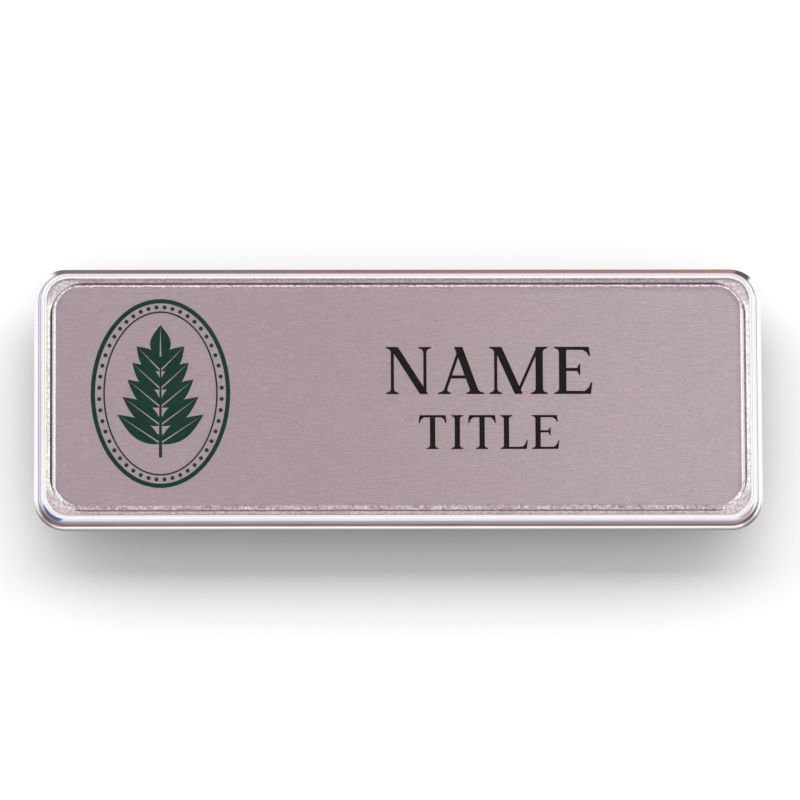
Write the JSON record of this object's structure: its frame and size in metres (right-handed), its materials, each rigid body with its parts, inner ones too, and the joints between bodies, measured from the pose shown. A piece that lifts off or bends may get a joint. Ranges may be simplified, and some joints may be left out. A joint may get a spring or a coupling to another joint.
{
  "type": "name badge",
  "caption": "Rectangular name badge: brushed metal plate under a clear cover in a chrome frame, with a magnet bar on its back.",
  "frame": {"origin": "centre of the magnet bar's flat underside, which is the middle of the badge and the surface that it rests on", "axes": "+X along the badge's length, in the reading direction; +Y up its face; +Z out of its face"},
  "size_m": [0.07, 0.0254, 0.0075],
  "materials": {
    "frame_chrome": "polished plating",
    "plate_metal": "brushed along its length, satin",
    "cover_clear": "clear acrylic, polished, with a slightly rough bevelled rim",
    "bar_black": "fine moulded texture",
    "print_green": "satin ink",
    "print_black": "satin ink"
  },
  "bodies": {
    "root": {"frame": "frame_chrome", "face_plate": "plate_metal", "clear_cover": "cover_clear", "magnet_bar": "bar_black"}
  },
  "joints": []
}
